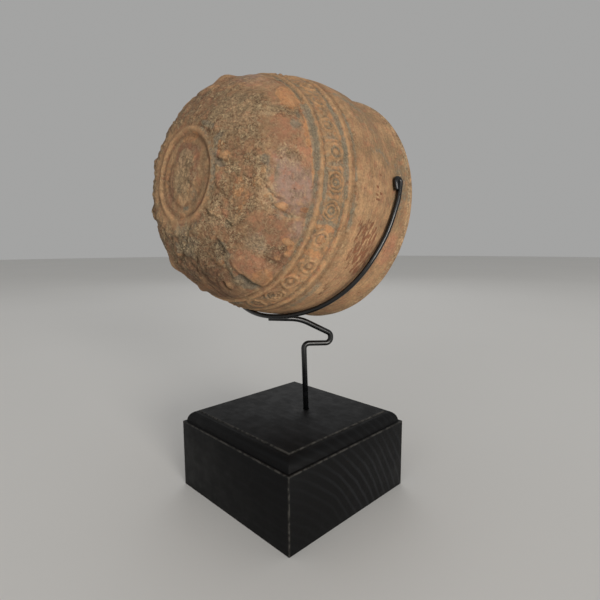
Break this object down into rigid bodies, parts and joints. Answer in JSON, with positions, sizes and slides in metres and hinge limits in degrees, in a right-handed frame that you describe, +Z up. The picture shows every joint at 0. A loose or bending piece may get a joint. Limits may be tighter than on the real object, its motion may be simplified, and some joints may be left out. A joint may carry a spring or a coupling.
{
  "type": "relief bowl on display mount",
  "caption": "Mould-made relief bowl of fired clay lying mouth outward in a bent-wire cradle on an S-bent post above a square black wooden block.",
  "frame": {"origin": "middle of the block's underside", "axes": "+Z up; the block's sides face +X, -X, +Y and -Y; the bowl's mouth faces +Y and its relief underside faces -Y"},
  "size_m": [0.1139, 0.0982, 0.2014],
  "materials": {
    "clay": "matte, worn",
    "black_wire": "satin",
    "black_wood": "satin, stained black"
  },
  "bodies": {
    "root": {"bowl": "clay", "cradle": "black_wire", "post": "black_wire", "base_block": "black_wood"}
  },
  "joints": []
}
